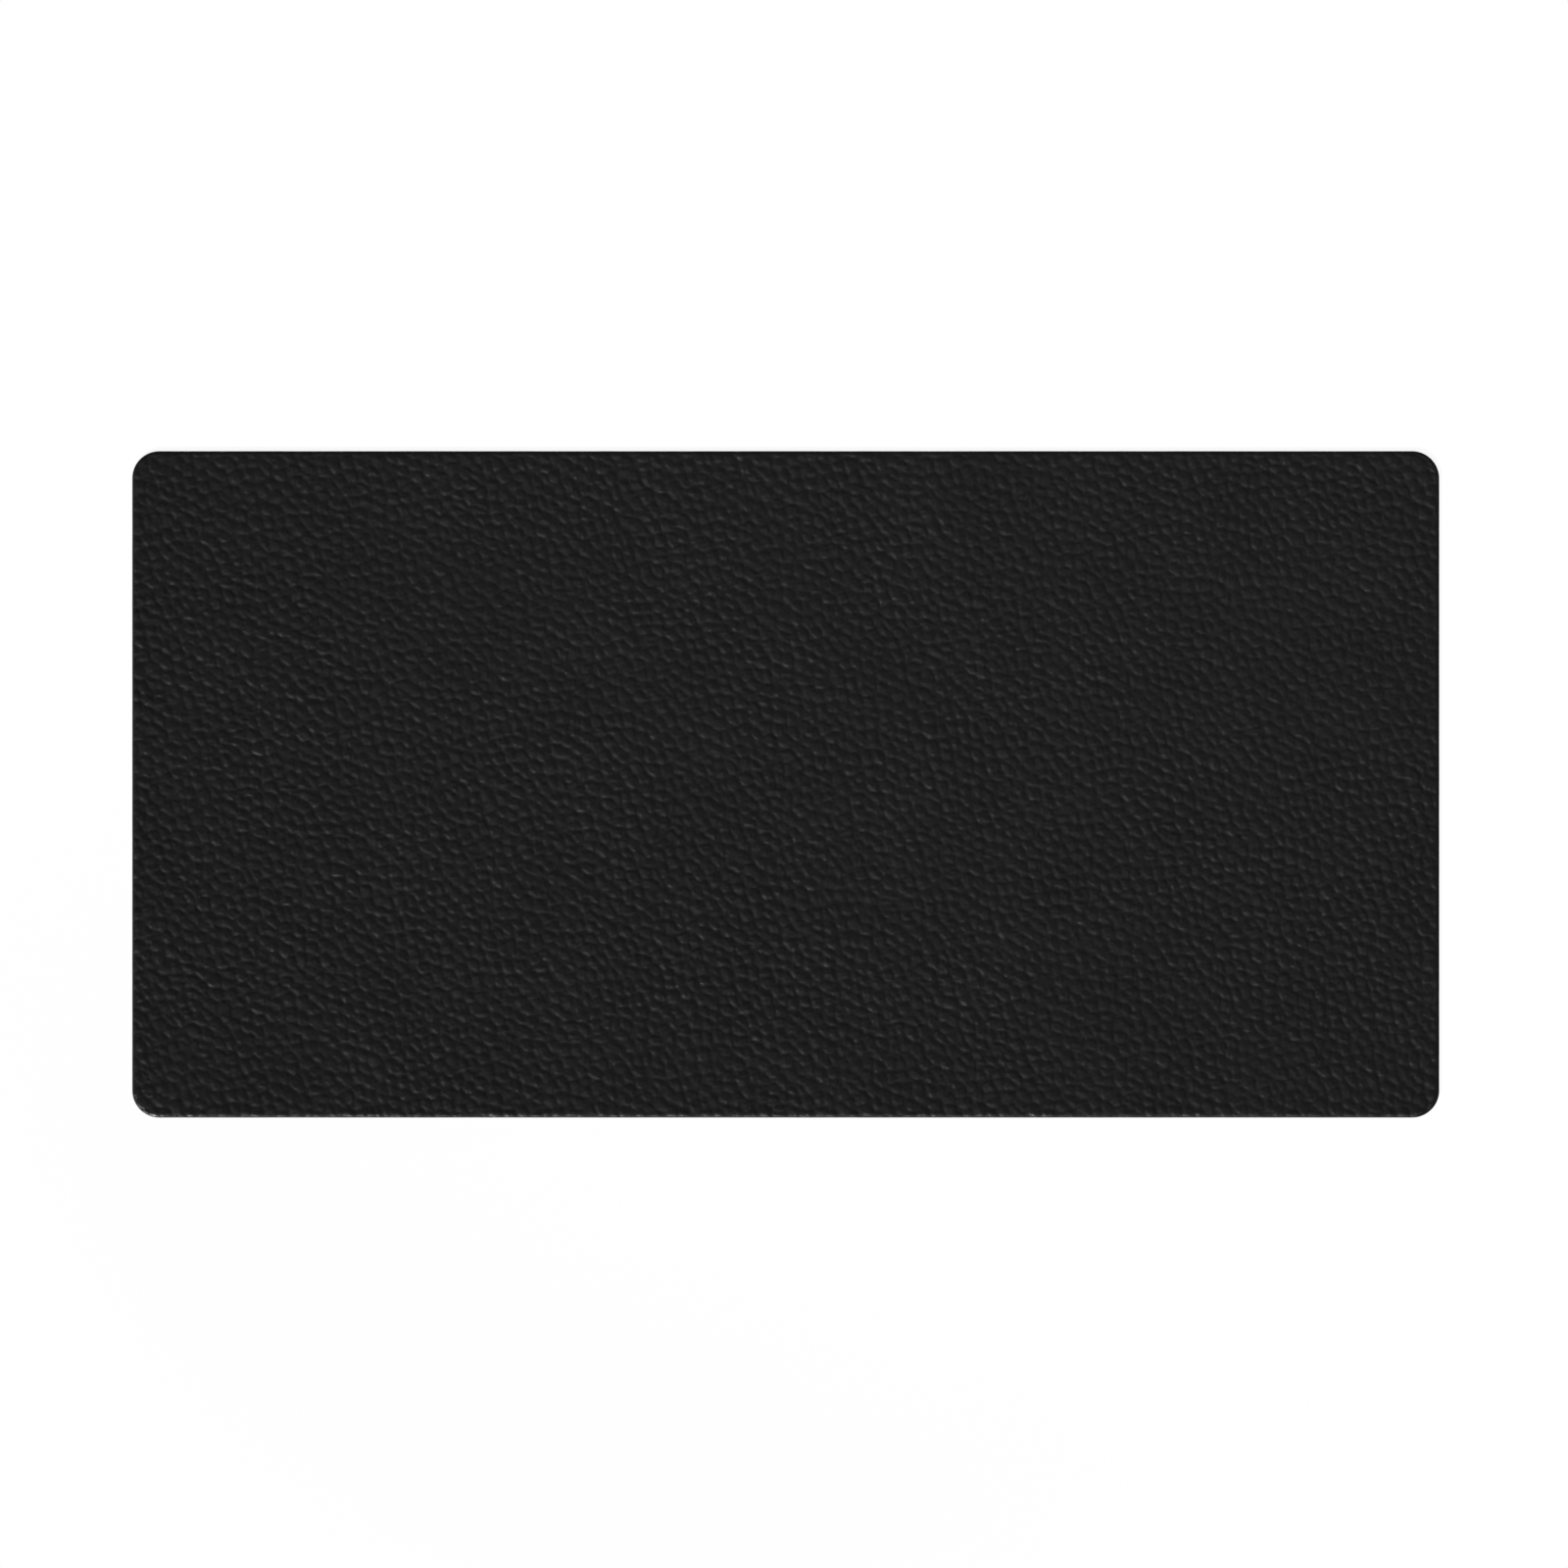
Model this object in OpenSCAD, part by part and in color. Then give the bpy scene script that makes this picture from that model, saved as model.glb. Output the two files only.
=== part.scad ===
// Desk mat: a flat laminate, pressed together and die-cut to a rounded rectangle.
// From the desk up it is a non-slip suede base, a glue film, a firm core sheet, a second
// glue film, and a pebble-grained leather skin on its own cloth backing. A thin band of
// edge paint seals the cut all the way round.
// Origin: the middle of the underside. X runs along the width, Y from the user's edge to
// the far edge, and Z up from the desk.

/* [Mat] */
// Finished width, edge paint included
mat_w = 600; // [300:1:1200]
// Finished depth, edge paint included
mat_d = 306; // [200:1:600]
// Outside radius of the four corners
corner_r = 12.5; // [3:0.5:60]

/* [Layers] */
// Thickness of the suede base that lies on the desk
base_t = 0.7; // [0.3:0.1:2]
// Thickness of the glue film between the base and the core
lower_glue_t = 0.1; // [0.05:0.05:0.4]
// Thickness of the firm core sheet
core_t = 1.2; // [0.5:0.1:6]
// Thickness of the glue film between the core and the cloth backing
upper_glue_t = 0.1; // [0.05:0.05:0.4]
// Thickness of the cloth that backs the leather skin
cloth_t = 0.4; // [0.2:0.1:1.2]
// Thickness of the grained leather skin
skin_t = 0.5; // [0.3:0.1:2]

/* [Edge paint] */
// Thickness of the edge paint on the side of the mat
paint_t = 0.3; // [0.2:0.05:1.5]
// Thickness of the edge paint where it meets the top and the underside
paint_lip_t = 0.12; // [0.02:0.02:0.18]
// Height over which the paint thins out to each lip
paint_taper_h = 0.5; // [0.1:0.1:0.6]

/* [Hidden] */

// Facets round a full circle when the model is previewed
$fn = 96;

// The layers are cut smaller than the finished mat by the paint on every side
cut_w = mat_w - 2 * paint_t;
cut_d = mat_d - 2 * paint_t;
cut_r = corner_r - paint_t;

// Height of the underside of each layer, and of the top face
lower_glue_z = base_t;
core_z = lower_glue_z + lower_glue_t;
upper_glue_z = core_z + core_t;
cloth_z = upper_glue_z + upper_glue_t;
skin_z = cloth_z + cloth_t;
mat_t = skin_z + skin_t;

// One layer of the laminate, cut to the mat's outline
module layer(z, t) {
    translate([0, 0, z]) linear_extrude(height = t) {
        square([cut_w - 2 * cut_r, cut_d], center = true);
        square([cut_w, cut_d - 2 * cut_r], center = true);
        for (sx = [-1, 1], sy = [-1, 1])
            translate([sx * (cut_w / 2 - cut_r), sy * (cut_d / 2 - cut_r)]) circle(r = cut_r);
    }
}

// Section of the edge paint: the cut edge lies along x = 0 and the paint stands out to +x
module paint_section() {
    polygon([
        [0, 0],
        [paint_lip_t, 0],
        [paint_t, paint_taper_h],
        [paint_t, mat_t - paint_taper_h],
        [paint_lip_t, mat_t],
        [0, mat_t]
    ]);
}

// A straight run of edge paint, centred on the origin, that faces +x
module paint_run(length) {
    translate([0, length / 2, 0]) rotate([90, 0, 0]) linear_extrude(height = length)
        paint_section();
}

// A quarter turn of edge paint round one corner, from +x to +y
module paint_corner() {
    rotate_extrude(angle = 90) translate([cut_r, 0]) paint_section();
}

module suede_base() {
    color([0.14, 0.14, 0.15]) layer(0, base_t);
}

module lower_glue() {
    color([0.72, 0.68, 0.55]) layer(lower_glue_z, lower_glue_t);
}

module core_sheet() {
    color([0.25, 0.25, 0.26]) layer(core_z, core_t);
}

module upper_glue() {
    color([0.72, 0.68, 0.55]) layer(upper_glue_z, upper_glue_t);
}

module skin_cloth() {
    color([0.32, 0.32, 0.33]) layer(cloth_z, cloth_t);
}

module grain_skin() {
    color([0.13, 0.13, 0.13]) layer(skin_z, skin_t);
}

module edge_paint() {
    color([0.09, 0.09, 0.09]) {
        for (side = [0, 180]) {
            rotate([0, 0, side]) translate([cut_w / 2, 0, 0]) paint_run(cut_d - 2 * cut_r);
            rotate([0, 0, side + 90]) translate([cut_d / 2, 0, 0]) paint_run(cut_w - 2 * cut_r);
            rotate([0, 0, side]) translate([cut_w / 2 - cut_r, cut_d / 2 - cut_r, 0])
                paint_corner();
            rotate([0, 0, side + 90]) translate([cut_d / 2 - cut_r, cut_w / 2 - cut_r, 0])
                paint_corner();
        }
    }
}

suede_base();
lower_glue();
core_sheet();
upper_glue();
skin_cloth();
grain_skin();
edge_paint();
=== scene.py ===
"""Finishes a laminated desk mat: its grained leather face, painted edge, suede underside and the
layers between them, in a plain white studio.

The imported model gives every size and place. Each operator makes one piece, or one group of like
pieces, in metres in the model's own frame.
"""

import math

import bpy
import numpy as np
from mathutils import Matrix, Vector


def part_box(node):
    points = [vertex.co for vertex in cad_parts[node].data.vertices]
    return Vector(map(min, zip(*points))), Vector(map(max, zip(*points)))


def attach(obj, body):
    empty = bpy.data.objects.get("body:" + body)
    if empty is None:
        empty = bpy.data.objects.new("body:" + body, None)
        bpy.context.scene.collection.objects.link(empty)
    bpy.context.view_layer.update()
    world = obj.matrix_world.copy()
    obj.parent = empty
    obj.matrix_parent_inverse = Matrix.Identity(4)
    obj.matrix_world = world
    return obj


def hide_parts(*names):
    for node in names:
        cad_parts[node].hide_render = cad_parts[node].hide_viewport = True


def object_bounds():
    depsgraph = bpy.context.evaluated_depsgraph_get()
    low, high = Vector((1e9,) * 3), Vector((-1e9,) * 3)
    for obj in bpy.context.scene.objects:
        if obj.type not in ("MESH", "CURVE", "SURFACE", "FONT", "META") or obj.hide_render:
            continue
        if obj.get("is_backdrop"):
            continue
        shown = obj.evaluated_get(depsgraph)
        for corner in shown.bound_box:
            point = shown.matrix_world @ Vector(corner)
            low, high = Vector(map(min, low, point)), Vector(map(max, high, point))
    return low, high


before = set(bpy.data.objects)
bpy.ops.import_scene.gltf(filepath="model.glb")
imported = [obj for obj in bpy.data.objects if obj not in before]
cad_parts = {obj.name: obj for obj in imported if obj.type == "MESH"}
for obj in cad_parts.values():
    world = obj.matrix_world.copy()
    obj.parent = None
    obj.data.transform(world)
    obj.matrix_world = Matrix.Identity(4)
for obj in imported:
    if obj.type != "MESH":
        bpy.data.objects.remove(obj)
CAD_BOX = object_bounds()

bl_info = {
    "name": "Desk Mat Finish",
    "version": (1, 0, 0),
    "blender": (4, 5, 0),
    "location": "View3D > Sidebar > Desk Mat",
    "description": "Builds the leather, edge paint, suede and inner layers of a desk mat",
    "category": "Object",
}

MM = 0.001
BODY = "root"

# Attribute that carries a face's relief into its finish, and the map that a bake draws on
RELIEF = "relief"
BAKE_MAP = "OFBake"
BAKE_MARGIN = 0.01

# Two points closer than this are on the same straight side
SAME_LINE = 0.001 * MM

# How far the face and the underside roll away at the cut edge, where the paint bead meets them
RIM_DROP = 0.4 * MM

# Numbers that the unevenness of each piece is drawn from
CLOTH_SEED = 41
SUEDE_SEED = 51
PAINT_SEED = 61

WHITE = (1.0, 1.0, 1.0, 1.0)


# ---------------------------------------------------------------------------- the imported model


def layer_outline(node):
    """Half width, half depth and corner radius of a layer cut to the mat's outline."""
    _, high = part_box(node)
    points = [point.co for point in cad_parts[node].data.vertices]
    straight_end = max(co.x for co in points if high.y - co.y < SAME_LINE)
    return high.x, high.y, high.x - straight_end


def layer_heights(node):
    """Height of a layer's underside and of its top."""
    low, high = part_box(node)
    return low.z, high.z


def paint_thickness():
    """How far the edge paint stands out from the cut edge."""
    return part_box("edge_paint")[1].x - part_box("grain_skin")[1].x


# ---------------------------------------------------------------------------- settings


class DeskMatGrain(bpy.types.PropertyGroup):
    """The pebbles that are pressed into the leather."""

    pitch: bpy.props.FloatProperty(
        name="Pebble pitch",
        description="Distance between the middles of neighbouring pebbles",
        default=5.6 * MM,
        min=2 * MM,
        max=15 * MM,
        subtype="DISTANCE",
        unit="LENGTH",
    )
    depth: bpy.props.FloatProperty(
        name="Crease depth",
        description="How far the creases lie below the tops of the pebbles",
        default=0.355 * MM,
        min=0.0,
        max=0.45 * MM,
        precision=5,
        subtype="DISTANCE",
        unit="LENGTH",
    )
    scatter: bpy.props.FloatProperty(
        name="Scatter",
        description="How far each pebble strays from an even honeycomb, as a share of the pitch",
        default=0.42,
        min=0.0,
        max=0.5,
        subtype="FACTOR",
    )
    softness: bpy.props.FloatProperty(
        name="Crease softness",
        description="Width over which neighbouring pebbles melt together, as a share of the pitch",
        default=0.2,
        min=0.05,
        max=0.25,
        subtype="FACTOR",
    )
    shoulder: bpy.props.FloatProperty(
        name="Shoulder",
        description="How far a pebble keeps rising from its crease, as a share of the pitch",
        default=0.4,
        min=0.1,
        max=1.0,
        subtype="FACTOR",
    )
    unevenness: bpy.props.FloatProperty(
        name="Unevenness",
        description="How much lower than the tallest the lowest pebbles are, as a share of the depth",
        default=0.05,
        min=0.0,
        max=1.0,
        subtype="FACTOR",
    )
    lumps: bpy.props.FloatProperty(
        name="Lumps",
        description="Height of the irregular lumps on and between pebbles, as a share of the depth",
        default=0.3,
        min=0.0,
        max=1.0,
        subtype="FACTOR",
    )
    lump_size: bpy.props.FloatProperty(
        name="Lump size",
        description="Width of one irregular lump",
        default=1.0 * MM,
        min=0.5 * MM,
        max=10 * MM,
        precision=5,
        subtype="DISTANCE",
        unit="LENGTH",
    )
    turn: bpy.props.FloatProperty(
        name="Turn",
        description="Angle between the honeycomb's rows and the width of the mat",
        default=math.radians(20),
        subtype="ANGLE",
        unit="ROTATION",
    )
    stretch: bpy.props.FloatProperty(
        name="Stretch",
        description="How many times longer the pebbles are along their slant than across it",
        default=1.18,
        min=1.0,
        max=2.0,
        subtype="FACTOR",
    )
    slant: bpy.props.FloatProperty(
        name="Slant",
        description="Angle between the long way of the pebbles and the width of the mat",
        default=math.radians(-45),
        subtype="ANGLE",
        unit="ROTATION",
    )
    step: bpy.props.FloatProperty(
        name="Mesh step",
        description="Distance between the points of the leather's mesh",
        default=0.65 * MM,
        min=0.4 * MM,
        max=4 * MM,
        precision=5,
        subtype="DISTANCE",
        unit="LENGTH",
    )
    seed: bpy.props.IntProperty(
        name="Seed",
        description="Number that the scatter of the pebbles is drawn from",
        default=11,
        min=0,
    )


class DeskMatFinish(bpy.types.PropertyGroup):
    """Colours of the layers, as they render in plain light."""

    leather: bpy.props.FloatVectorProperty(
        name="Leather",
        description="Colour of the tops of the pebbles",
        default=(0.0071, 0.0071, 0.0071),
        min=0.0,
        max=1.0,
        subtype="COLOR",
    )
    # Painted shade: the creases are painted darker than the pebble tops
    crease_shade: bpy.props.FloatVectorProperty(
        name="Creases",
        description="Colour of the leather between the pebbles",
        default=(0.0057, 0.0057, 0.0057),
        min=0.0,
        max=1.0,
        subtype="COLOR",
    )
    edge: bpy.props.FloatVectorProperty(
        name="Edge paint",
        description="Colour of the paint round the cut edge",
        default=(0.011, 0.011, 0.0115),
        min=0.0,
        max=1.0,
        subtype="COLOR",
    )
    suede: bpy.props.FloatVectorProperty(
        name="Suede",
        description="Colour of the suede underside",
        default=(0.026, 0.026, 0.028),
        min=0.0,
        max=1.0,
        subtype="COLOR",
    )
    cloth: bpy.props.FloatVectorProperty(
        name="Backing cloth",
        description="Colour of the knit behind the leather",
        default=(0.085, 0.085, 0.09),
        min=0.0,
        max=1.0,
        subtype="COLOR",
    )
    core: bpy.props.FloatVectorProperty(
        name="Core",
        description="Colour of the firm sheet in the middle",
        default=(0.05, 0.05, 0.054),
        min=0.0,
        max=1.0,
        subtype="COLOR",
    )
    glue: bpy.props.FloatVectorProperty(
        name="Glue",
        description="Colour of the dried glue films",
        default=(0.48, 0.42, 0.27),
        min=0.0,
        max=1.0,
        subtype="COLOR",
    )


class DeskMatStudio(bpy.types.PropertyGroup):
    """The camera and the light that the mat is shown in."""

    lens: bpy.props.FloatProperty(
        name="Lens",
        description="Focal length of the camera",
        default=300.0,
        min=20.0,
        max=400.0,
        subtype="DISTANCE_CAMERA",
    )
    view_width: bpy.props.FloatProperty(
        name="Width in view",
        description="Width of what the camera sees at the height of the mat",
        default=719.6 * MM,
        min=0.1,
        max=5.0,
        subtype="DISTANCE",
        unit="LENGTH",
    )
    aim: bpy.props.FloatVectorProperty(
        name="Aim",
        description="Point that the camera hangs over, from the middle of the mat",
        default=(-0.8 * MM, 0.17 * MM),
        size=2,
        subtype="XYZ_LENGTH",
        unit="LENGTH",
    )
    key_power: bpy.props.FloatProperty(
        name="Softbox power",
        description="Power of the lamp in the softbox",
        default=147.0,
        min=0.0,
        unit="POWER",
    )
    key_size: bpy.props.FloatProperty(
        name="Softbox size",
        description="Width and height of the softbox",
        default=1.75,
        min=0.1,
        subtype="DISTANCE",
        unit="LENGTH",
    )
    key_heading: bpy.props.FloatProperty(
        name="Softbox heading",
        description="Way from the mat to the softbox, anticlockwise from the mat's right side",
        default=math.radians(240),
        subtype="ANGLE",
        unit="ROTATION",
    )
    key_rise: bpy.props.FloatProperty(
        name="Softbox rise",
        description="Angle of the softbox above the desk, seen from the mat",
        default=math.radians(49),
        subtype="ANGLE",
        unit="ROTATION",
    )
    key_distance: bpy.props.FloatProperty(
        name="Softbox distance",
        description="Distance from the mat to the softbox",
        default=8.0,
        min=1.0,
        subtype="DISTANCE",
        unit="LENGTH",
    )


# ---------------------------------------------------------------------------- shader expressions


class Signal:
    """A shader socket in an expression: arithmetic on it adds the Math nodes that it needs."""

    def __init__(self, recipe, socket):
        self.recipe = recipe
        self.socket = socket

    def output(self, name):
        """Another output of the same node."""
        return Signal(self.recipe, self.socket.node.outputs[name])

    def _math(self, operation, first, second):
        return self.recipe.node("ShaderNodeMath", {"operation": operation}, {0: first, 1: second})

    def __add__(self, other):
        return self._math("ADD", self, other)

    def __sub__(self, other):
        return self._math("SUBTRACT", self, other)

    def __rsub__(self, other):
        return self._math("SUBTRACT", other, self)

    def __mul__(self, other):
        return self._math("MULTIPLY", self, other)

    __radd__ = __add__
    __rmul__ = __mul__


class Recipe:
    """A node tree that starts empty and is filled through node()."""

    def __init__(self, tree):
        self.tree = tree
        self.tree.nodes.clear()

    def node(self, kind, settings=None, inputs=None, output=0):
        """Adds a node, makes its settings, then fills or links its sockets."""
        made = self.tree.nodes.new(kind)
        for name, value in (settings or {}).items():
            setattr(made, name, value)
        for name, value in (inputs or {}).items():
            if isinstance(value, Signal):
                self.tree.links.new(value.socket, made.inputs[name])
            else:
                made.inputs[name].default_value = value
        return Signal(self, made.outputs[output]) if made.outputs else None

    def place(self, stretch=(1.0, 1.0, 1.0)):
        """The place on the mat in metres, stretched along each axis."""
        spot = self.node("ShaderNodeTexCoord", output="Object")
        return self.node("ShaderNodeMapping", None, {"Vector": spot, "Scale": stretch})

    def noise(self, place, size, detail=2.0, roughness=0.5):
        """Cloudy noise whose swells are about one size across."""
        inputs = {"Vector": place, "Scale": 1 / size, "Detail": detail, "Roughness": roughness}
        return self.node("ShaderNodeTexNoise", None, inputs)

    def cells(self, place, size, feature="F1"):
        """Distance from the middles of scattered cells, or from their borders."""
        inputs = {"Vector": place, "Scale": 1 / size}
        return self.node("ShaderNodeTexVoronoi", {"feature": feature}, inputs)

    def span(self, signal, low, high, start=0.0, end=1.0):
        """Runs smoothly from start to end as the signal goes from low to high."""
        inputs = {"Value": signal, "From Min": low, "From Max": high, "To Min": start, "To Max": end}
        return self.node("ShaderNodeMapRange", {"interpolation_type": "SMOOTHSTEP"}, inputs)

    def blend(self, share, first, second):
        """One colour turning into another."""
        inputs = {"Factor": share, "A": opaque(first), "B": opaque(second)}
        return self.mix_colours("MIX", inputs)

    def shade(self, colour, strength):
        """A colour made lighter or darker by a signal."""
        grey = self.node("ShaderNodeCombineColor", None, {0: strength, 1: strength, 2: strength})
        return self.mix_colours("MULTIPLY", {"Factor": 1.0, "A": opaque(colour), "B": grey})

    def mix_colours(self, blend_type, inputs):
        """A Mix node that works on colours, with its sockets named Factor, A and B."""
        sockets = {"Factor": 0, "A": 6, "B": 7}
        settings = {"data_type": "RGBA", "blend_type": blend_type}
        named = {sockets[name]: value for name, value in inputs.items()}
        return self.node("ShaderNodeMix", settings, named, output=2)

    def bump(self, height, distance):
        """Small relief: the height runs from 0 to 1 over the distance."""
        inputs = {"Height": height, "Distance": distance, "Strength": 1.0}
        return self.node("ShaderNodeBump", None, inputs)

    def surface(self, colour, roughness, normal, **constants):
        """Ends the tree in one Principled shader."""
        inputs = {"Base Color": colour, "Roughness": roughness, "Normal": normal}
        inputs.update({name.replace("_", " "): value for name, value in constants.items()})
        shader = self.node("ShaderNodeBsdfPrincipled", None, inputs)
        self.node("ShaderNodeOutputMaterial", None, {"Surface": shader})


def opaque(colour):
    """A plain colour as the four numbers of a colour socket; a signal stays as it is."""
    return colour if isinstance(colour, Signal) else (*colour, 1.0)


def new_finish(name):
    """An empty material and the recipe that fills it."""
    material = bpy.data.materials.new(name)
    material.use_nodes = True
    return material, Recipe(material.node_tree)


# ---------------------------------------------------------------------------- finishes


def leather_finish(finish):
    """Black coated leather: dull creases painted darker as painted shade, satin pebbles, fine pores
    and wrinkles.
    """
    material, recipe = new_finish("black_grained_leather")
    place = recipe.place()
    relief = recipe.node("ShaderNodeAttribute", {"attribute_name": RELIEF}, output="Fac")
    crown = recipe.span(relief, 0.25, 0.85)
    cloud = recipe.noise(place, 38 * MM, detail=3.0)
    wrinkle = recipe.noise(place, 1.5 * MM, detail=3.0, roughness=0.6)
    pore = recipe.span(recipe.cells(place, 0.8 * MM), 0.05, 0.32)
    # The creases are painted darker than the pebble tops, as painted shade
    colour = recipe.shade(
        recipe.blend(crown, finish.crease_shade, finish.leather), 0.9 + 0.2 * cloud
    )
    roughness = 0.32 - 0.02 * crown + 0.03 * (cloud - 0.5) + 0.04 * (wrinkle - 0.5)
    normal = recipe.bump(0.8 * wrinkle + 0.2 * pore, 0.07 * MM)
    recipe.surface(colour, roughness, normal, IOR=1.5)
    return material


def paint_finish(finish):
    """Black edge paint: a satin skin with brushed streaks along the edge and small swells."""
    material, recipe = new_finish("black_edge_paint")
    streaks = recipe.noise(recipe.place((1.0, 1.0, 14.0)), 6 * MM, detail=3.0)
    swells = recipe.noise(recipe.place(), 1.1 * MM, detail=2.0)
    colour = recipe.shade(finish.edge, 0.8 + 0.4 * streaks)
    roughness = 0.36 + 0.16 * streaks + 0.08 * (swells - 0.5)
    normal = recipe.bump(0.6 * streaks + 0.4 * swells, 0.05 * MM)
    recipe.surface(colour, roughness, normal, IOR=1.5)
    return material


def suede_finish(finish):
    """Charcoal microfibre suede: brushed patches, and short fibres that catch the light."""
    material, recipe = new_finish("charcoal_suede")
    patches = recipe.noise(recipe.place((1.0, 1.7, 1.0)), 26 * MM, detail=4.0, roughness=0.6)
    fibres = recipe.noise(recipe.place((1.0, 2.4, 1.0)), 0.7 * MM, detail=4.0, roughness=0.7)
    brushed = recipe.span(patches, 0.42, 0.6)
    colour = recipe.shade(finish.suede, (0.72 + 0.4 * brushed) * (0.7 + 0.6 * fibres))
    normal = recipe.bump(fibres, 0.16 * MM)
    roughness = 0.96 - 0.08 * brushed
    recipe.surface(colour, roughness, normal, Sheen_Weight=0.35, Sheen_Roughness=0.45)
    return material


def cloth_finish(finish):
    """Grey knit backing: columns of loops crossed by courses, painted darker between the loops as
    painted shade, with the odd thick yarn.
    """
    material, recipe = new_finish("grey_knit_backing")
    place = recipe.place()
    slub = recipe.noise(recipe.place((1.0, 0.12, 1.0)), 1.4 * MM, detail=2.0)
    columns = wave(recipe, place, "X", 1.1 * MM)
    courses = wave(recipe, place, "Y", 0.8 * MM)
    loops = columns * (0.55 + 0.45 * courses)
    # Darker between the loops, where the bump sinks: painted shade
    colour = recipe.shade(finish.cloth, (0.45 + 0.75 * loops) * (0.8 + 0.4 * slub))
    normal = recipe.bump(loops, 0.18 * MM)
    recipe.surface(colour, 0.92 - 0.1 * loops, normal, Sheen_Weight=0.2)
    return material


def wave(recipe, place, axis, size):
    """Even ridges one size apart, across one axis."""
    # The node's sine turns this far over one unit of the scaled place
    turn_per_unit = 20
    settings = {"wave_type": "BANDS", "bands_direction": axis, "wave_profile": "SIN"}
    inputs = {"Vector": place, "Scale": math.tau / turn_per_unit / size, "Distortion": 0.4}
    return recipe.node("ShaderNodeTexWave", settings, inputs, output="Fac")


def core_finish(finish):
    """Dark pressed rubber core: bound crumbs with fine pits between them, painted darker as painted
    shade.
    """
    material, recipe = new_finish("pressed_rubber_core")
    place = recipe.place()
    crumbs = recipe.cells(place, 1.3 * MM)
    pits = recipe.span(recipe.cells(place, 1.3 * MM, "DISTANCE_TO_EDGE"), 0.0, 0.12)
    tint = recipe.noise(place, 2.2 * MM, detail=3.0)
    # The pits between the crumbs are painted darker: painted shade
    colour = recipe.shade(finish.core, (0.6 + 0.4 * pits) * (0.7 + 0.6 * tint))
    roughness = 0.88 - 0.12 * pits + 0.06 * (crumbs - 0.5)
    normal = recipe.bump(pits * (0.7 + 0.3 * tint), 0.12 * MM)
    recipe.surface(colour, roughness, normal, IOR=1.5)
    return material


def glue_finish(finish):
    """Amber glue film: rolled on in long streaks, with scattered small bubbles."""
    material, recipe = new_finish("dried_glue_film")
    place = recipe.place()
    streaks = recipe.noise(recipe.place((0.08, 1.0, 1.0)), 5 * MM, detail=3.0)
    bubbles = recipe.span(recipe.cells(place, 4.5 * MM), 0.06, 0.16)
    thin = recipe.noise(place, 30 * MM, detail=3.0)
    colour = recipe.shade(finish.glue, (0.75 + 0.4 * streaks) * (0.85 + 0.3 * thin))
    roughness = 0.3 + 0.25 * streaks + 0.12 * (1 - bubbles)
    normal = recipe.bump(0.6 * streaks + 0.4 * bubbles, 0.06 * MM)
    recipe.surface(colour, roughness, normal, IOR=1.47)
    return material


# ---------------------------------------------------------------------------- relief


def soft_noise(x, y, size, seed):
    """Smooth noise from -1 to 1 whose swells are about one size across.

    It repeats after 1024 swells, which is wider than the mat for every size used here.
    """
    cells = 1024
    table = np.random.default_rng(seed).uniform(-1, 1, (cells, cells))
    u = x / size + cells / 2
    v = y / size + cells / 2
    column = np.floor(u).astype(int)
    row = np.floor(v).astype(int)
    across = ease(u - column)
    up = ease(v - row)

    def value(down_row, over_column):
        return table[(row + down_row) % cells, (column + over_column) % cells]

    near = value(0, 0) * (1 - across) + value(0, 1) * across
    far = value(1, 0) * (1 - across) + value(1, 1) * across
    return near * (1 - up) + far * up


def ease(share):
    """A share from 0 to 1 that starts and ends flat."""
    share = np.clip(share, 0, 1)
    return share**3 * (share * (share * 6 - 15) + 10)


def before_stretch(x, y, grain):
    """Where each point of the leather lay before it was drawn out along its slant."""
    cos, sin = math.cos(grain.slant), math.sin(grain.slant)
    along = (x * cos + y * sin) / grain.stretch
    across = y * cos - x * sin
    return along * cos - across * sin, along * sin + across * cos


def pebble_middles(x, y, grain):
    """For each point, the pebbles round it: how far off each middle is, in pitches, and a share
    of height that is drawn for it."""
    drift = 1.2 * MM
    drift_size = 45 * MM
    x = x + drift * soft_noise(x, y, drift_size, grain.seed + 1)
    y = y + drift * soft_noise(x, y, drift_size, grain.seed + 2)
    cos, sin = math.cos(grain.turn), math.sin(grain.turn)
    along = (x * cos - y * sin) / grain.pitch
    row_height = math.sqrt(0.75)
    across = (x * sin + y * cos) / grain.pitch / row_height
    # More pebbles than the mat is wide, so that none is drawn twice
    cells = 256
    nearby = 2
    draw = np.random.default_rng(grain.seed)
    stray = draw.uniform(-1, 1, (2, cells, cells)) * grain.scatter
    tallness = draw.uniform(0, 1, (cells, cells))
    home_row = np.floor(across).astype(int)
    for row in (home_row + step for step in range(-nearby, nearby + 1)):
        shift = (row % 2) / 2
        home_column = np.floor(along - shift).astype(int)
        for column in (home_column + step for step in range(-nearby, nearby + 1)):
            stray_along, stray_across = stray[:, row % cells, column % cells]
            middle_along = column + shift + 0.5 + stray_along
            middle_across = row + 0.5 + stray_across
            tall = tallness[row % cells, column % cells]
            yield middle_along - along, (middle_across - across) * row_height, tall


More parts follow.
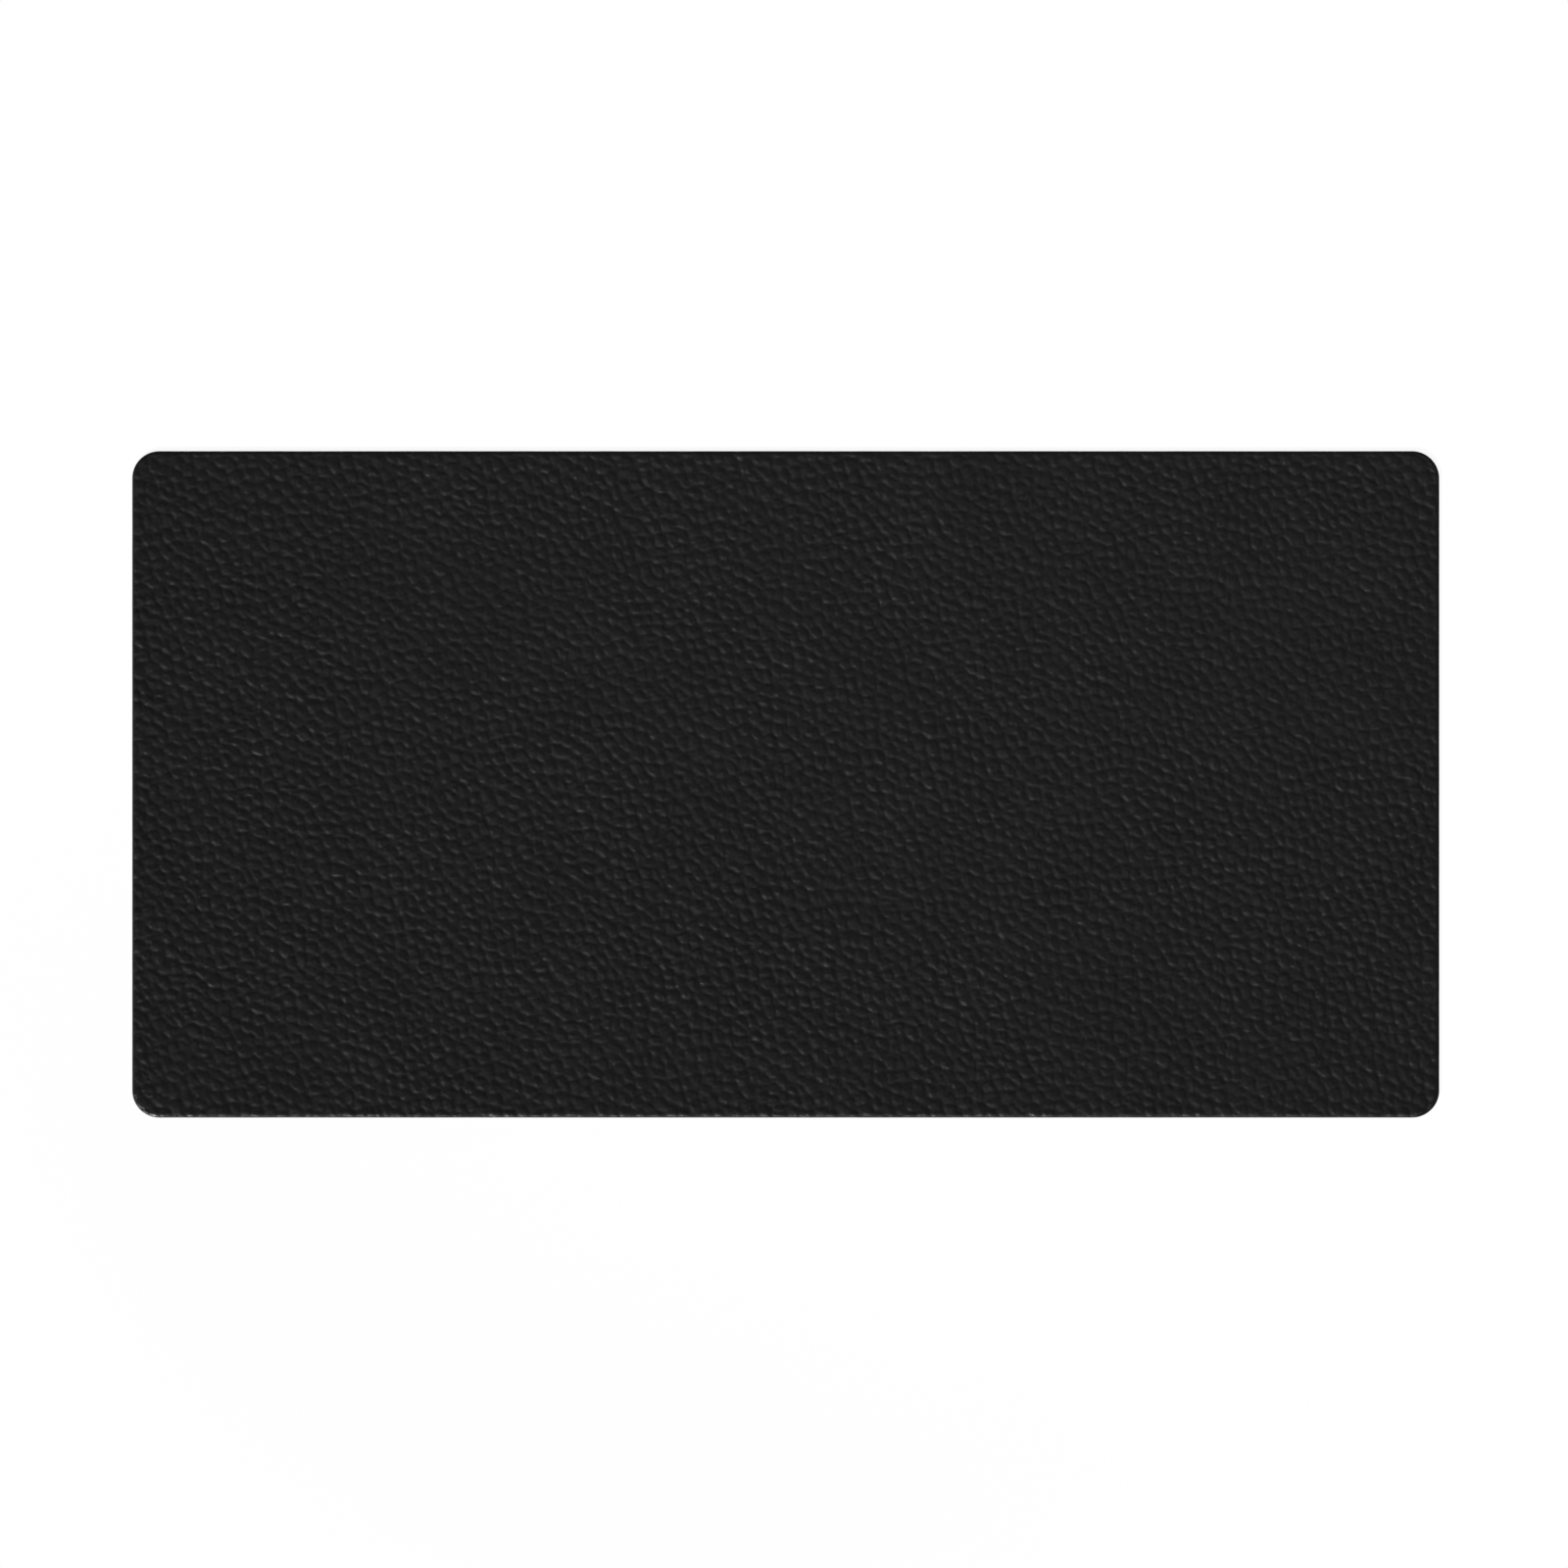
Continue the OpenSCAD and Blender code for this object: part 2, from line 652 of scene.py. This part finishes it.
def pebble_relief(x, y, grain):
    """Height of the pebbled face, from 0 deep in the creases to 1 on the highest tops.

    Each point knows how far it lies inside the border of its own pebble. The borders towards
    all the neighbours are melted together, so that the creases are soft valleys.
    """
    same_pebble = 1e-6
    x, y = before_stretch(x, y, grain)
    pebbles = list(pebble_middles(x, y, grain))
    own = np.argmin([along**2 + across**2 for along, across, _ in pebbles], axis=0)
    own_along, own_across, own_tall = (
        np.take_along_axis(np.array(parts), own[None], 0)[0] for parts in zip(*pebbles)
    )
    melted = np.zeros_like(x)
    for along, across, _ in pebbles:
        apart = np.hypot(along - own_along, across - own_across)
        neighbour = apart > same_pebble
        apart = np.where(neighbour, apart, 1.0)
        middle_along = (along + own_along) / 2
        middle_across = (across + own_across) / 2
        border = middle_along * (along - own_along) + middle_across * (across - own_across)
        melted += np.where(neighbour, np.exp(-border / apart / grain.softness), 0.0)
    inside = grain.softness * (math.log(2) - np.log(melted))
    slope = np.clip(inside / grain.shoulder, 0, 1)
    dome = (1 - (1 - slope) ** 2) * (1 - grain.unevenness * own_tall)
    lumps = soft_noise(x, y, grain.lump_size, grain.seed + 4)
    return dome + grain.lumps * lumps


# ---------------------------------------------------------------------------- sheets


def spread_lines(half, step, rim):
    """Grid lines across a sheet: even steps, with closer lines at both rims."""
    inner = half - rim[-1]
    count = max(2, round(2 * inner / step))
    middle = np.linspace(-inner, inner, count + 1)
    outer = half - np.array(rim[:-1])
    return np.concatenate([-outer, middle, outer[::-1]])


def into_outline(x, y, outline):
    """Bends the corners of a rectangle of points into the quarter discs of the outline."""
    half_width, half_depth, radius = outline
    straight_x = half_width - radius
    straight_y = half_depth - radius
    u = np.clip((np.abs(x) - straight_x) / radius, 0, 1)
    v = np.clip((np.abs(y) - straight_y) / radius, 0, 1)
    bent_x = np.minimum(np.abs(x), straight_x) + radius * u * np.sqrt(1 - v * v / 2)
    bent_y = np.minimum(np.abs(y), straight_y) + radius * v * np.sqrt(1 - u * u / 2)
    return np.copysign(bent_x, x), np.copysign(bent_y, y)


def inset(x, y, outline):
    """How far each point lies inside the outline."""
    half_width, half_depth, radius = outline
    past_x = np.abs(x) - (half_width - radius)
    past_y = np.abs(y) - (half_depth - radius)
    past = np.hypot(np.maximum(past_x, 0), np.maximum(past_y, 0))
    return radius - past - np.minimum(np.maximum(past_x, past_y), 0)


def border_of(columns, rows):
    """Grid points round the edge of a sheet, anticlockwise from the first corner."""
    grid = np.arange(columns * rows).reshape(columns, rows)
    return np.concatenate([grid[:-1, 0], grid[-1, :-1], grid[:0:-1, -1], grid[0, :0:-1]])


def sheet_faces(columns, rows):
    """Faces of a closed sheet as lists of points: the grid, its walls, then its flat back.

    The back has a copy of each border point, after the points of the grid. It is a ladder of
    long strips from side to side, closed at each end by one many-sided face.
    """
    grid = np.arange(columns * rows).reshape(columns, rows)
    face = np.stack([grid[:-1, :-1], grid[1:, :-1], grid[1:, 1:], grid[:-1, 1:]], -1)
    border = border_of(columns, rows)
    back = columns * rows + np.arange(len(border))
    walls = np.stack([border, back, np.roll(back, -1), np.roll(border, -1)], -1)
    near_right = columns - 1
    far_right = near_right + rows - 1
    far_left = far_right + columns - 1
    near = back[: near_right + 1]
    far = back[far_right : far_left + 1][::-1]
    ladder = np.stack([near[:-1], far[:-1], far[1:], near[1:]], -1)
    left_end = [back[0], *back[: far_left - 1 : -1]]
    right_end = back[far_right : near_right - 1 : -1]
    return face.reshape(-1, 4), walls, [*ladder, left_end, right_end]


def bake_places(x, y, outline, columns, rows):
    """Places on the bake map of the grid's points, of the walls' lower ends and of the back."""
    half_width, half_depth, _ = outline
    back_strip = 0.03
    u = BAKE_MARGIN + (x / half_width + 1) / 2 * (1 - 2 * BAKE_MARGIN)
    up = (y / half_depth + 1) / 2
    v = BAKE_MARGIN + back_strip + up * (1 - 2 * BAKE_MARGIN - back_strip)
    border = border_of(columns, rows)
    middle = np.array([0.5, (1 + back_strip) / 2])
    rim = np.stack([u[border], v[border]], -1)
    wall_ends = rim + (rim - middle) * BAKE_MARGIN
    back_v = BAKE_MARGIN / 2 + (rim[:, 1] - rim[:, 1].min()) * back_strip
    return np.stack([u, v], -1), wall_ends, np.stack([rim[:, 0], back_v], -1)


def sheet_piece(name, outline, step, rim, back_z, height_of, facing):
    """A closed sheet with relief on one face.

    height_of(x, y) gives the thickness at each point and the share of relief there. The face
    looks up where facing is 1 and down where it is -1, away from the flat back at back_z.
    """
    half_width, half_depth, _ = outline
    lines_x = spread_lines(half_width, step, rim)
    lines_y = spread_lines(half_depth, step, rim)
    columns, rows = len(lines_x), len(lines_y)
    x, y = (axis.ravel() for axis in np.meshgrid(lines_x, lines_y, indexing="ij"))
    x, y = into_outline(x, y, outline)
    thickness, relief = height_of(x, y)
    border = border_of(columns, rows)
    back_points = np.stack([x[border], y[border], np.full(len(border), back_z)], -1)
    points = np.concatenate([np.stack([x, y, back_z + facing * thickness], -1), back_points])
    face, walls, back = sheet_faces(columns, rows)
    faces = [*face.tolist(), *walls.tolist(), *([int(i) for i in one] for one in back)]
    if facing < 0:
        faces = [one[::-1] for one in faces]
    mesh = bpy.data.meshes.new(name)
    mesh.from_pydata(points, [], faces, shade_flat=False)
    flat = np.arange(len(faces)) >= len(face)
    mesh.attributes.new("sharp_face", "BOOLEAN", "FACE").data.foreach_set("value", flat)
    share = np.concatenate([relief, relief[border]]).astype(np.float32)
    mesh.attributes.new(RELIEF, "FLOAT", "POINT").data.foreach_set("value", share)
    add_sheet_map(mesh, bake_places(x, y, outline, columns, rows), len(face), len(walls))
    piece = bpy.data.objects.new(name, mesh)
    bpy.context.scene.collection.objects.link(piece)
    return piece


def add_sheet_map(mesh, places, face_count, wall_count):
    """Lays the sheet out on its bake map: the face, a collar of walls round it, and the back."""
    grid_places, wall_places, back_places = places
    corner_points = np.zeros(len(mesh.loops), np.int32)
    mesh.loops.foreach_get("vertex_index", corner_points)
    front = np.concatenate([grid_places, wall_places])
    behind = np.concatenate([grid_places, back_places])
    front_corners = 4 * (face_count + wall_count)
    spots = np.concatenate(
        [front[corner_points[:front_corners]], behind[corner_points[front_corners:]]]
    )
    layer = mesh.uv_layers.new(name=BAKE_MAP)
    layer.uv.foreach_set("vector", spots.astype(np.float32).ravel())


def declare_sheet(outline):
    """Works out the width, depth and cut area of a flat-cut sheet; nothing is done with them."""
    half_width, half_depth, radius = outline
    width, depth = 2 * half_width, 2 * half_depth
    cut_area = width * depth - (4 - math.pi) * radius**2


# ---------------------------------------------------------------------------- pieces


class MESH_OT_leather_face(bpy.types.Operator):
    """Make the leather skin, with its pebbles pressed into the mesh"""

    bl_idname = "mesh.leather_face"
    bl_label = "Leather face"
    bl_options = {"REGISTER", "UNDO"}

    def execute(self, context):
        grain = context.scene.desk_mat_grain
        outline = layer_outline("grain_skin")
        back_z, top_z = layer_heights("grain_skin")
        rim_width = 1.8 * MM
        rim_radius = (rim_width**2 + RIM_DROP**2) / (2 * RIM_DROP)
        rim_lines = [0.0, 0.25 * MM, 0.55 * MM, 0.95 * MM, 1.5 * MM]
        patch_size = 45 * MM

        def height_of(x, y):
            raw = pebble_relief(x, y, grain)
            deepest, tallest = np.percentile(raw, (1, 99.5))
            relief = np.clip((raw - deepest) / (tallest - deepest), 0, 1)
            pressed = 0.9 + 0.1 * soft_noise(x, y, patch_size, grain.seed + 3)
            rim = np.clip(1 - inset(x, y, outline) / rim_width, 0, 1)
            roll = rim_radius - np.sqrt(rim_radius**2 - (rim * rim_width) ** 2)
            depth = grain.depth * pressed * np.sqrt(1 - rim)
            return top_z - back_z - depth * (1 - relief) - roll, relief

        face = sheet_piece("leather_face", outline, grain.step, rim_lines, back_z, height_of, 1)
        face.data.materials.append(leather_finish(context.scene.desk_mat_finish))
        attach(face, BODY)
        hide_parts("grain_skin")
        declare_sheet(outline)
        return {"FINISHED"}


class MESH_OT_backing_cloth(bpy.types.Operator):
    """Make the knit cloth that the leather skin is coated on"""

    bl_idname = "mesh.backing_cloth"
    bl_label = "Backing cloth"
    bl_options = {"REGISTER", "UNDO"}

    def execute(self, context):
        outline = layer_outline("skin_cloth")
        back_z, top_z = layer_heights("skin_cloth")
        step = 3 * MM
        rim_lines = [0.0, 1 * MM]
        thick_patch = 6 * MM
        unevenness = 0.03 * MM

        def height_of(x, y):
            relief = 0.5 + 0.5 * soft_noise(x, y, thick_patch, CLOTH_SEED)
            return top_z - back_z - unevenness * (1 - relief), relief

        cloth = sheet_piece("backing_cloth", outline, step, rim_lines, back_z, height_of, 1)
        cloth.data.materials.append(cloth_finish(context.scene.desk_mat_finish))
        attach(cloth, BODY)
        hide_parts("skin_cloth")
        declare_sheet(outline)
        return {"FINISHED"}


class MESH_OT_suede_underside(bpy.types.Operator):
    """Make the suede base, with its brushed nap facing the desk"""

    bl_idname = "mesh.suede_underside"
    bl_label = "Suede underside"
    bl_options = {"REGISTER", "UNDO"}

    def execute(self, context):
        outline = layer_outline("suede_base")
        low_z, back_z = layer_heights("suede_base")
        step = 1.6 * MM
        rim_width = 1.6 * MM
        rim_lines = [0.0, 0.4 * MM, 1 * MM]
        nap_patch = 5 * MM
        nap_squeeze = 1.8
        swell_size = 40 * MM
        unevenness = 0.05 * MM

        def height_of(x, y):
            nap = 0.5 + 0.5 * soft_noise(x, nap_squeeze * y, nap_patch, SUEDE_SEED)
            swell = 0.5 + 0.5 * soft_noise(x, y, swell_size, SUEDE_SEED + 1)
            relief = 0.6 * nap + 0.4 * swell
            rim = np.clip(1 - inset(x, y, outline) / rim_width, 0, 1)
            return back_z - low_z - unevenness * (1 - relief) - RIM_DROP * rim**2, relief

        suede = sheet_piece("suede_underside", outline, step, rim_lines, back_z, height_of, -1)
        suede.data.materials.append(suede_finish(context.scene.desk_mat_finish))
        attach(suede, BODY)
        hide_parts("suede_base")
        declare_sheet(outline)
        return {"FINISHED"}


class MESH_OT_painted_edge(bpy.types.Operator):
    """Make the bead of paint that seals the cut edge"""

    bl_idname = "mesh.painted_edge"
    bl_label = "Painted edge"
    bl_options = {"REGISTER", "UNDO"}

    def execute(self, context):
        edge = bpy.data.objects.new("painted_edge", bead_mesh())
        context.scene.collection.objects.link(edge)
        edge.data.materials.append(paint_finish(context.scene.desk_mat_finish))
        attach(edge, BODY)
        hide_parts("edge_paint")
        return {"FINISHED"}


def edge_path(outline, step):
    """Points and outward directions round the outline, closer together in the corners."""
    half_width, half_depth, radius = outline
    straight_x = half_width - radius
    straight_y = half_depth - radius
    corner_steps = 40
    points, directions = [], []
    middles = [(1, 1), (-1, 1), (-1, -1), (1, -1)]
    for quarter, (side_x, side_y) in enumerate(middles):
        middle = Vector((side_x * straight_x, side_y * straight_y))
        for corner_step in range(corner_steps + 1):
            angle = (quarter + corner_step / corner_steps) * math.pi / 2
            direction = Vector((math.cos(angle), math.sin(angle)))
            points.append(middle + radius * direction)
            directions.append(direction)
        run = 2 * (straight_x if quarter % 2 == 0 else straight_y)
        start, forward = points[-1], Vector((-direction.y, direction.x))
        count = round(run / step)
        for share in range(1, count):
            points.append(start + forward * run * share / count)
            directions.append(direction)
    return np.array(points), np.array(directions)


def bead_mesh():
    """A thin bowed bead swept round the cut edge, with a slightly uneven brushed coat."""
    low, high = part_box("edge_paint")
    step = 1.5 * MM
    heights = 18
    swell_size = 9 * MM
    ripple_size = 2.5 * MM
    lip_wander = 0.02 * MM
    points, directions = edge_path(layer_outline("grain_skin"), step)
    rings = len(points)
    share = -np.cos(np.linspace(0, math.pi, heights))
    middle_z = (low.z + high.z) / 2
    half_height = (high.z - low.z) / 2 - RIM_DROP + lip_wander
    bow = np.sqrt(1 - np.abs(share) ** 3)
    swell = 0.5 + 0.5 * soft_noise(points[:, 0], points[:, 1], swell_size, PAINT_SEED)
    ripple = 0.5 + 0.5 * soft_noise(points[:, 0], points[:, 1], ripple_size, PAINT_SEED + 1)
    coat = paint_thickness() * (1 - 0.12 * swell - 0.05 * ripple)
    out = coat[:, None] * bow[None, :]
    z = middle_z + share[None, :] * (half_height - lip_wander * swell[:, None])
    x = points[:, :1] + directions[:, :1] * out
    y = points[:, 1:] + directions[:, 1:] * out
    corners = np.stack([x, y, z], -1).reshape(-1, 3)
    ring = np.arange(rings)[:, None] * heights
    after = np.roll(ring, -1, 0)
    level = np.arange(heights)[None, :]
    above = (level + 1) % heights
    faces = np.stack([ring + level, after + level, after + above, ring + above], -1)
    mesh = bpy.data.meshes.new("painted_edge")
    mesh.from_pydata(corners, [], faces.reshape(-1, 4).tolist(), shade_flat=False)
    behind = np.tile(np.arange(heights) == heights - 1, rings)
    mesh.attributes.new("sharp_face", "BOOLEAN", "FACE").data.foreach_set("value", behind)
    add_bead_map(mesh, rings, heights)
    return mesh


def add_bead_map(mesh, rings, heights):
    """Lays the bead out on its bake map in stacked strips."""
    strips = 8
    strip_fill = 0.9
    ring = np.arange(rings)[:, None, None]
    level = np.arange(heights)[None, :, None]
    along = (ring + np.array([0, 1, 1, 0])) / rings * strips
    strip = np.floor(ring / rings * strips)
    up = (level + np.array([0, 0, 1, 1])) / heights
    inside = 1 - 2 * BAKE_MARGIN
    u = BAKE_MARGIN + inside * (along - strip) * strips / (strips + 1)
    v = (strip + BAKE_MARGIN + inside * up * strip_fill) / strips
    spots = np.stack(np.broadcast_arrays(u, v), -1)
    layer = mesh.uv_layers.new(name=BAKE_MAP)
    layer.uv.foreach_set("vector", spots.astype(np.float32).ravel())


class MATERIAL_OT_inner_layers(bpy.types.Operator):
    """Give the core sheet and the glue films their finishes"""

    bl_idname = "material.inner_layers"
    bl_label = "Inner layers"
    bl_options = {"REGISTER", "UNDO"}

    def execute(self, context):
        finish = context.scene.desk_mat_finish
        glue = glue_finish(finish)
        for node, slot, material in (
            ("core_sheet", "core", core_finish(finish)),
            ("lower_glue", "glue_film", glue),
            ("upper_glue", "glue_film", glue),
        ):
            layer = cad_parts[node]
            layer.data.materials.clear()
            layer.data.materials.append(material)
        return {"FINISHED"}


# ---------------------------------------------------------------------------- studio


class SCENE_OT_white_studio(bpy.types.Operator):
    """Make the white desk surface, the sky, the softbox and the camera"""

    bl_idname = "scene.white_studio"
    bl_label = "White studio"
    bl_options = {"REGISTER", "UNDO"}

    def execute(self, context):
        studio = context.scene.desk_mat_studio
        add_desk_surface(context.scene)
        context.scene.world = studio_sky()
        add_softbox(context.scene, studio)
        add_camera(context.scene, studio)
        context.scene.view_settings.view_transform = "Standard"
        return {"FINISHED"}


def add_desk_surface(scene):
    """A wide white surface just under the mat."""
    reach = 6.0
    drop = 0.05 * MM
    mesh = bpy.data.meshes.new("desk_surface")
    corners = [(-reach, -reach, -drop), (reach, -reach, -drop)]
    corners += [(reach, reach, -drop), (-reach, reach, -drop)]
    mesh.from_pydata(corners, [], [(0, 1, 2, 3)])
    mesh.materials.append(desk_finish())
    surface = bpy.data.objects.new("desk_surface", mesh)
    scene.collection.objects.link(surface)
    surface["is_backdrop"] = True


def desk_finish():
    """White that shows as white to the eye and in gloss, and still takes the mat's shadow.

    Near the mat the white glows a little less, so that the shadow shows in the paint under it.
    """
    material, recipe = new_finish("white_desk")
    path = recipe.node("ShaderNodeLightPath")
    seen = path.output("Is Camera Ray") + path.output("Is Glossy Ray")
    seen = seen + path.output("Is Transmission Ray")
    place = recipe.node("ShaderNodeTexCoord", output="Object")
    away = recipe.node("ShaderNodeVectorMath", {"operation": "LENGTH"}, {0: place}, output="Value")
    near_mat, clear_of_mat, near_glow = 0.3, 0.46, 0.93
    glow = recipe.span(away, near_mat, clear_of_mat, near_glow, 1.0)
    paint = recipe.node("ShaderNodeBsdfDiffuse", None, {"Color": (0.97, 0.97, 0.97, 1.0)})
    white = recipe.node("ShaderNodeEmission", None, {"Color": WHITE, "Strength": 1.0})
    surface = recipe.node("ShaderNodeMixShader", None, {0: seen * glow, 1: paint, 2: white})
    recipe.node("ShaderNodeOutputMaterial", None, {"Surface": surface})
    return material


def studio_sky():
    """White round the horizon, fading to black overhead."""
    world = bpy.data.worlds.new("studio_sky")
    world.use_nodes = True
    recipe = Recipe(world.node_tree)
    direction = recipe.node("ShaderNodeTexCoord", output="Generated")
    rise = recipe.node("ShaderNodeSeparateXYZ", None, {"Vector": direction}, output="Z")
    all_white = math.sin(math.radians(6))
    all_black = math.sin(math.radians(27))
    strength = recipe.span(rise, all_white, all_black, 1.0, 0.0)
    sky = recipe.node("ShaderNodeBackground", None, {"Color": WHITE, "Strength": strength})
    recipe.node("ShaderNodeOutputWorld", None, {"Surface": sky})
    return world


def add_softbox(scene, studio):
    """A square lamp whose grid narrows its beam, aimed past the mat so that only the soft side of
    the beam falls on it."""
    beam_angle = math.radians(40)
    past_mat = 3.58
    lamp = bpy.data.lights.new("key_softbox", "AREA")
    lamp.energy = studio.key_power
    lamp.size = studio.key_size
    lamp.spread = beam_angle
    place = seen_from(studio.key_heading, studio.key_rise, studio.key_distance)
    aim = seen_from(studio.key_heading + math.pi, 0.0, past_mat)
    softbox = bpy.data.objects.new("key_softbox", lamp)
    softbox.location = place
    softbox.rotation_euler = (place - aim).to_track_quat("Z", "Y").to_euler()
    softbox.visible_camera = False
    scene.collection.objects.link(softbox)


def seen_from(heading, rise, distance):
    """A place at that distance from the middle of the mat."""
    level = math.cos(rise) * distance
    return Vector(
        (math.cos(heading) * level, math.sin(heading) * level, math.sin(rise) * distance)
    )


def add_camera(scene, studio):
    """A camera straight above the mat, as high as its lens needs to see the chosen width."""
    lens = bpy.data.cameras.new("overhead_camera")
    lens.lens = studio.lens
    lens.clip_end = 50.0
    camera = bpy.data.objects.new("overhead_camera", lens)
    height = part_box("grain_skin")[1].z + studio.view_width * studio.lens / lens.sensor_width
    camera.location = (studio.aim[0], studio.aim[1], height)
    scene.collection.objects.link(camera)
    scene.camera = camera


# ---------------------------------------------------------------------------- add-on


class VIEW3D_PT_desk_mat(bpy.types.Panel):
    """Lists the steps that finish the mat"""

    bl_idname = "VIEW3D_PT_desk_mat"
    bl_label = "Desk Mat"
    bl_space_type = "VIEW_3D"
    bl_region_type = "UI"
    bl_category = "Desk Mat"

    def draw(self, context):
        scene = context.scene
        for title, settings in (
            ("Grain", scene.desk_mat_grain),
            ("Finish", scene.desk_mat_finish),
            ("Studio", scene.desk_mat_studio),
        ):
            box = self.layout.box()
            box.label(text=title)
            for name in settings.__annotations__:
                box.prop(settings, name)
        for step in STEPS:
            self.layout.operator(step.bl_idname)


SETTINGS = {
    "desk_mat_grain": DeskMatGrain,
    "desk_mat_finish": DeskMatFinish,
    "desk_mat_studio": DeskMatStudio,
}
STEPS = (
    SCENE_OT_white_studio,
    MATERIAL_OT_inner_layers,
    MESH_OT_suede_underside,
    MESH_OT_backing_cloth,
    MESH_OT_leather_face,
    MESH_OT_painted_edge,
)


def register():
    """Adds the settings, the steps and their panel to Blender."""
    for kind in (*SETTINGS.values(), *STEPS, VIEW3D_PT_desk_mat):
        bpy.utils.register_class(kind)
    for name, kind in SETTINGS.items():
        setattr(bpy.types.Scene, name, bpy.props.PointerProperty(type=kind))


def unregister():
    """Takes them out again."""
    for name in SETTINGS:
        delattr(bpy.types.Scene, name)
    for kind in (VIEW3D_PT_desk_mat, *reversed(STEPS), *reversed(SETTINGS.values())):
        bpy.utils.unregister_class(kind)


def main():
    """Runs every step in order."""
    register()
    bpy.ops.scene.white_studio()
    bpy.ops.material.inner_layers()
    bpy.ops.mesh.suede_underside()
    bpy.ops.mesh.backing_cloth()
    bpy.ops.mesh.leather_face()
    bpy.ops.mesh.painted_edge()
    boxes = {"cad": CAD_BOX, "visual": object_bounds()}
    sizes = {name: [list(corner) for corner in box] for name, box in boxes.items()}


if __name__ == "__main__":
    main()
